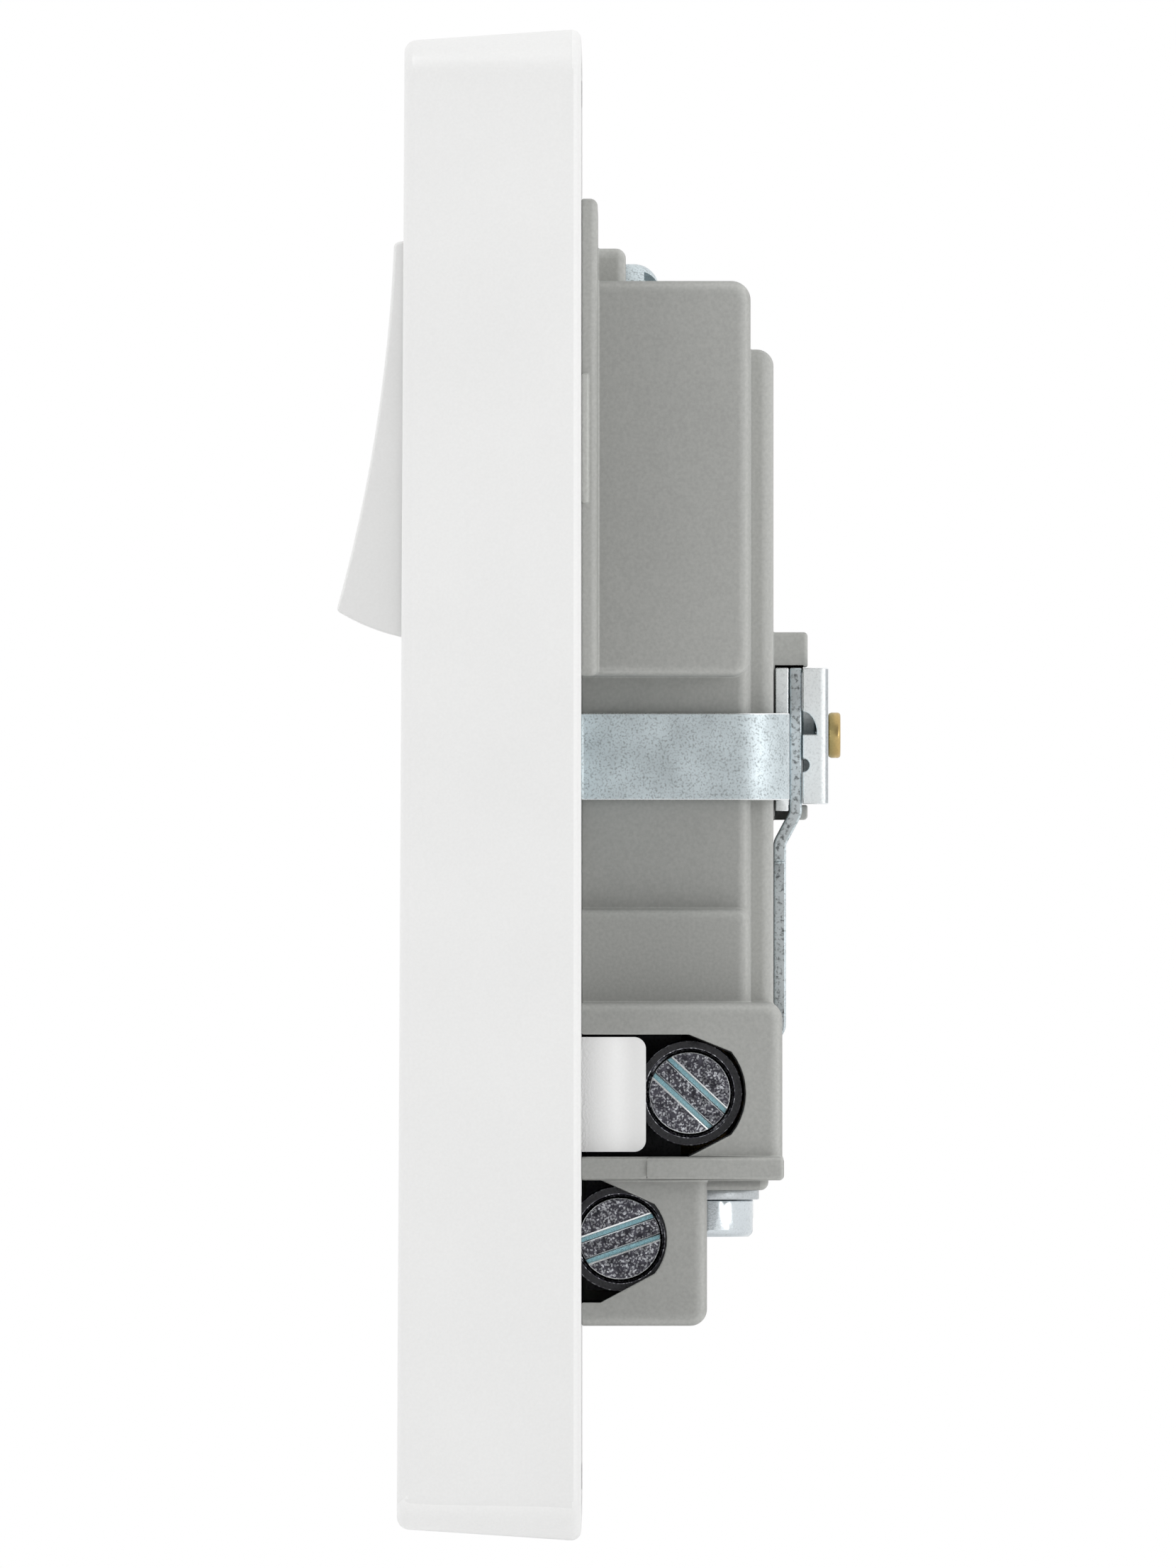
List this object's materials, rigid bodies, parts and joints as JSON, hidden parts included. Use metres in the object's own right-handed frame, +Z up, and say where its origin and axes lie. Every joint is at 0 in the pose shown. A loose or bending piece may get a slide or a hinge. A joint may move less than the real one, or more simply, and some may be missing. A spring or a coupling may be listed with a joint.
{
  "type": "switched wall socket with usb",
  "caption": "Square white wall socket plate with a rocker switch, flat-pin slots and usb ports, on a grey moulded rear housing with side terminals and a plated earth strap.",
  "frame": {"origin": "midway between the two fixing holes, on the wall face that the plate's rim meets", "axes": "+X right and +Z up as seen from the front, +Y into the wall; the front faces -Y"},
  "size_m": [0.09, 0.0302, 0.09],
  "materials": {
    "white_plastic": "fine satin moulding",
    "grey_plastic": "fine matte moulding",
    "zinc_steel": "bright zinc plate",
    "terminal_metal": "dark plated metal",
    "brass": "plain",
    "contact_metal": "bright",
    "bright_steel": "bright",
    "black_plastic": "matte",
    "board": "lacquer"
  },
  "bodies": {
    "socket": {"front_plate": "white_plastic", "rear_housing": "grey_plastic", "earth_strap": "zinc_steel", "earth_bar": "zinc_steel", "earth_bracket": "zinc_steel", "assembly_screws": "zinc_steel", "line_terminal_upper": "terminal_metal", "line_terminal_lower": "terminal_metal", "neutral_terminal_upper": "terminal_metal", "neutral_terminal_lower": "terminal_metal", "earth_rivet": "brass", "earth_terminal": "brass", "earth_contact": "brass", "line_contact": "brass", "neutral_contact": "brass", "feed_contact": "brass", "feed_tip": "contact_metal", "usb_contacts": "contact_metal", "usb_port_upper": "bright_steel", "usb_port_lower": "bright_steel", "shutter_spring": "bright_steel", "usb_tongue_upper": "black_plastic", "usb_tongue_lower": "black_plastic", "usb_capacitors": "black_plastic", "usb_transformer": "black_plastic", "usb_board": "board"},
    "rocker": {"rocker": "white_plastic", "rocker_spring": "bright_steel"},
    "plunger": {"rocker_plunger": "white_plastic"},
    "blade": {"switch_blade": "brass", "blade_tip": "contact_metal"},
    "shutter": {"shutter": "white_plastic"},
    "line_pad_upper": {"line_pad_upper": "zinc_steel"},
    "line_screw_upper": {"line_screw_upper": "zinc_steel"},
    "line_pad_lower": {"line_pad_lower": "zinc_steel"},
    "line_screw_lower": {"line_screw_lower": "zinc_steel"},
    "neutral_pad_upper": {"neutral_pad_upper": "zinc_steel"},
    "neutral_screw_upper": {"neutral_screw_upper": "zinc_steel"},
    "neutral_pad_lower": {"neutral_pad_lower": "zinc_steel"},
    "neutral_screw_lower": {"neutral_screw_lower": "zinc_steel"},
    "earth_washer_right": {"earth_washer_right": "zinc_steel"},
    "earth_screw_right": {"earth_screw_right": "zinc_steel"},
    "earth_washer_left": {"earth_washer_left": "zinc_steel"},
    "earth_screw_left": {"earth_screw_left": "zinc_steel"}
  },
  "joints": [
    {"name": "rocker_tilt", "type": "hinge", "parent": "socket", "child": "rocker", "pos_m": [0.019, -0.00825, 0.0207], "axis": [1, 0, 0], "range_deg": [0, 17.8]},
    {"name": "plunger_slide", "type": "slide", "parent": "rocker", "child": "plunger", "axis": [0, 0.988, -0.1547], "range_m": [0, 0.0003], "stiffness_N_per_m": 300, "deforming": ["rocker_spring"]},
    {"name": "blade_rock", "type": "hinge", "parent": "socket", "child": "blade", "pos_m": [0.019, 0.0058, 0.0207], "axis": [1, 0, 0], "range_deg": [-12, 0]},
    {"name": "shutter_slide", "type": "slide", "parent": "socket", "child": "shutter", "axis": [0, 0, -1], "range_m": [0, 0.00565], "stiffness_N_per_m": 80, "springref_m": -0.003, "deforming": ["shutter_spring"]},
    {"name": "line_pad_upper_slide", "type": "slide", "parent": "socket", "child": "line_pad_upper", "axis": [-1, 0, 0], "range_m": [0, 0.0016]},
    {"name": "line_screw_upper_turn", "type": "hinge", "parent": "line_pad_upper", "child": "line_screw_upper", "pos_m": [0.029, 0.00647, -0.0184], "axis": [-1, 0, 0], "range_deg": [0, 720]},
    {"name": "line_pad_lower_slide", "type": "slide", "parent": "socket", "child": "line_pad_lower", "axis": [-1, 0, 0], "range_m": [0, 0.0016]},
    {"name": "line_screw_lower_turn", "type": "hinge", "parent": "line_pad_lower", "child": "line_screw_lower", "pos_m": [0.029, 0.0023, -0.0271], "axis": [-1, 0, 0], "range_deg": [0, 720]},
    {"name": "neutral_pad_upper_slide", "type": "slide", "parent": "socket", "child": "neutral_pad_upper", "axis": [1, 0, 0], "range_m": [0, 0.0016]},
    {"name": "neutral_screw_upper_turn", "type": "hinge", "parent": "neutral_pad_upper", "child": "neutral_screw_upper", "pos_m": [-0.029, 0.00647, -0.0184], "axis": [1, 0, 0], "range_deg": [0, 720]},
    {"name": "neutral_pad_lower_slide", "type": "slide", "parent": "socket", "child": "neutral_pad_lower", "axis": [1, 0, 0], "range_m": [0, 0.0016]},
    {"name": "neutral_screw_lower_turn", "type": "hinge", "parent": "neutral_pad_lower", "child": "neutral_screw_lower", "pos_m": [-0.029, 0.0023, -0.0271], "axis": [1, 0, 0], "range_deg": [0, 720]},
    {"name": "earth_washer_right_slide", "type": "slide", "parent": "socket", "child": "earth_washer_right", "axis": [0, 0, -1], "range_m": [0, 0.0016]},
    {"name": "earth_screw_right_turn", "type": "hinge", "parent": "earth_washer_right", "child": "earth_screw_right", "pos_m": [0.0034, 0.0076, -0.026], "axis": [0, 0, -1], "range_deg": [0, 720]},
    {"name": "earth_washer_left_slide", "type": "slide", "parent": "socket", "child": "earth_washer_left", "axis": [0, 0, -1], "range_m": [0, 0.0016]},
    {"name": "earth_screw_left_turn", "type": "hinge", "parent": "earth_washer_left", "child": "earth_screw_left", "pos_m": [-0.0034, 0.0076, -0.026], "axis": [0, 0, -1], "range_deg": [0, 720]}
  ],
  "couplings": [
    {"joint": "blade_rock", "follows": "rocker_tilt", "ratio": -0.674},
    {"joint": "line_screw_upper_turn", "follows": "line_pad_upper_slide", "rad_per_m": 7854},
    {"joint": "line_screw_lower_turn", "follows": "line_pad_lower_slide", "rad_per_m": 7854},
    {"joint": "neutral_screw_upper_turn", "follows": "neutral_pad_upper_slide", "rad_per_m": 7854},
    {"joint": "neutral_screw_lower_turn", "follows": "neutral_pad_lower_slide", "rad_per_m": 7854},
    {"joint": "earth_screw_right_turn", "follows": "earth_washer_right_slide", "rad_per_m": 7854},
    {"joint": "earth_screw_left_turn", "follows": "earth_washer_left_slide", "rad_per_m": 7854}
  ]
}
